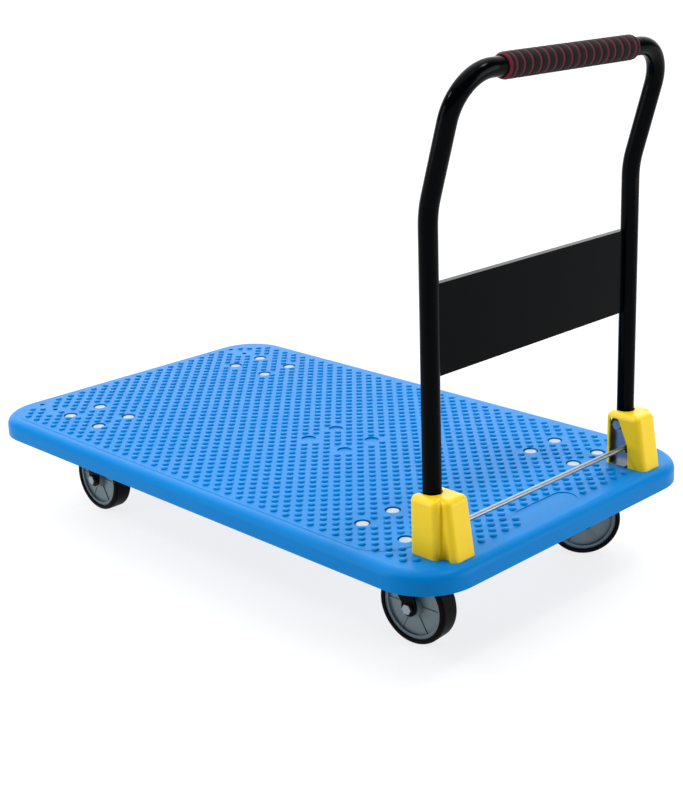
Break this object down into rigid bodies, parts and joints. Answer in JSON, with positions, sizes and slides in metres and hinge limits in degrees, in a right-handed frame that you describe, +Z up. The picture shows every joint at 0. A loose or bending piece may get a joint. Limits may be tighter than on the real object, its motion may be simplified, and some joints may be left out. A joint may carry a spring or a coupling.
{
  "type": "folding platform cart",
  "caption": "Flat moulded deck on two swivel and two fixed casters, with a fold-down tubular push handle, yellow hinge covers and a foot release bar.",
  "frame": {"origin": "on the floor below the middle of the deck", "axes": "+X along the deck to the handle end, +Y across the deck to the pusher's right, +Z up"},
  "size_m": [1, 0.594, 0.7908],
  "materials": {
    "deck_plastic": "moulded polypropylene, satin grain",
    "cover_plastic": "moulded polypropylene, smooth",
    "black_powder_coat": "gloss black coating on steel",
    "grip_foam": "closed-cell foam with turned grooves",
    "black_plastic": "moulded polyethylene",
    "black_steel": "black lacquered pressed steel",
    "tyre_rubber": "solid rubber",
    "hub_plastic": "moulded polypropylene",
    "bearing_plastic": "moulded acetal",
    "spring_steel": "zinc plated spring wire",
    "ball_steel": "polished bearing balls",
    "zinc_steel": "bright zinc plating"
  },
  "bodies": {
    "cart": {"bracket_bolts": "zinc_steel", "bracket_nuts": "zinc_steel", "caster_bolts": "zinc_steel", "caster_nuts": "zinc_steel", "deck": "deck_plastic", "fixed_axle_bolts": "zinc_steel", "fixed_axle_nuts": "zinc_steel", "fixed_axle_sleeves": "zinc_steel", "fixed_fork_left": "black_steel", "fixed_fork_right": "black_steel", "hinge_bracket_left": "zinc_steel", "hinge_bracket_right": "zinc_steel", "hinge_cover_left": "cover_plastic", "hinge_cover_right": "cover_plastic", "king_nuts": "zinc_steel", "king_pins": "zinc_steel", "pivot_bolts": "zinc_steel", "pivot_nuts": "zinc_steel", "release_spring_left": "spring_steel", "release_spring_right": "spring_steel", "swivel_plate_left": "black_steel", "swivel_plate_right": "black_steel"},
    "handle": {"foam_grip": "grip_foam", "handle_panel": "black_powder_coat", "handle_tube": "black_powder_coat", "pivot_bushes": "zinc_steel", "tube_plugs": "black_plastic"},
    "release_rod": {"release_rod": "zinc_steel"},
    "swivel_left": {"swivel_fork_left": "black_steel", "swivel_balls_left": "ball_steel", "swivel_axle_sleeve_left": "zinc_steel", "swivel_axle_bolt_left": "zinc_steel", "swivel_axle_nut_left": "zinc_steel"},
    "swivel_wheel_left": {"swivel_wheel_left_tyre": "tyre_rubber", "swivel_wheel_left_hub": "hub_plastic", "swivel_wheel_left_bearing": "bearing_plastic"},
    "fixed_wheel_left": {"fixed_wheel_left_tyre": "tyre_rubber", "fixed_wheel_left_hub": "hub_plastic", "fixed_wheel_left_bearing": "bearing_plastic"},
    "swivel_right": {"swivel_fork_right": "black_steel", "swivel_balls_right": "ball_steel", "swivel_axle_sleeve_right": "zinc_steel", "swivel_axle_bolt_right": "zinc_steel", "swivel_axle_nut_right": "zinc_steel"},
    "swivel_wheel_right": {"swivel_wheel_right_tyre": "tyre_rubber", "swivel_wheel_right_hub": "hub_plastic", "swivel_wheel_right_bearing": "bearing_plastic"},
    "fixed_wheel_right": {"fixed_wheel_right_tyre": "tyre_rubber", "fixed_wheel_right_hub": "hub_plastic", "fixed_wheel_right_bearing": "bearing_plastic"}
  },
  "joints": [
    {"name": "handle_fold", "type": "hinge", "parent": "cart", "child": "handle", "pos_m": [0.431, 0, 0.222], "axis": [0, -1, 0], "range_deg": [0, 90]},
    {"name": "release_press", "type": "slide", "parent": "cart", "child": "release_rod", "axis": [0, 0, -1], "range_m": [0, 0.008], "stiffness_N_per_m": 1200, "springref_m": -0.004, "deforming": ["release_spring_left", "release_spring_right"]},
    {"name": "swivel_turn_left", "type": "hinge", "parent": "cart", "child": "swivel_left", "pos_m": [0.343, -0.182, 0.13], "axis": [0, 0, 1], "continuous": true},
    {"name": "swivel_wheel_spin_left", "type": "hinge", "parent": "swivel_left", "child": "swivel_wheel_left", "pos_m": [0.37289, -0.17938, 0.055], "axis": [-0.0872, 0.9962, 0], "continuous": true},
    {"name": "fixed_wheel_spin_left", "type": "hinge", "parent": "cart", "child": "fixed_wheel_left", "pos_m": [-0.343, -0.182, 0.055], "axis": [0, 1, 0], "continuous": true},
    {"name": "swivel_turn_right", "type": "hinge", "parent": "cart", "child": "swivel_right", "pos_m": [0.343, 0.182, 0.13], "axis": [0, 0, 1], "continuous": true},
    {"name": "swivel_wheel_spin_right", "type": "hinge", "parent": "swivel_right", "child": "swivel_wheel_right", "pos_m": [0.36458, 0.20284, 0.055], "axis": [-0.6947, 0.7193, 0], "continuous": true},
    {"name": "fixed_wheel_spin_right", "type": "hinge", "parent": "cart", "child": "fixed_wheel_right", "pos_m": [-0.343, 0.182, 0.055], "axis": [0, 1, 0], "continuous": true}
  ]
}
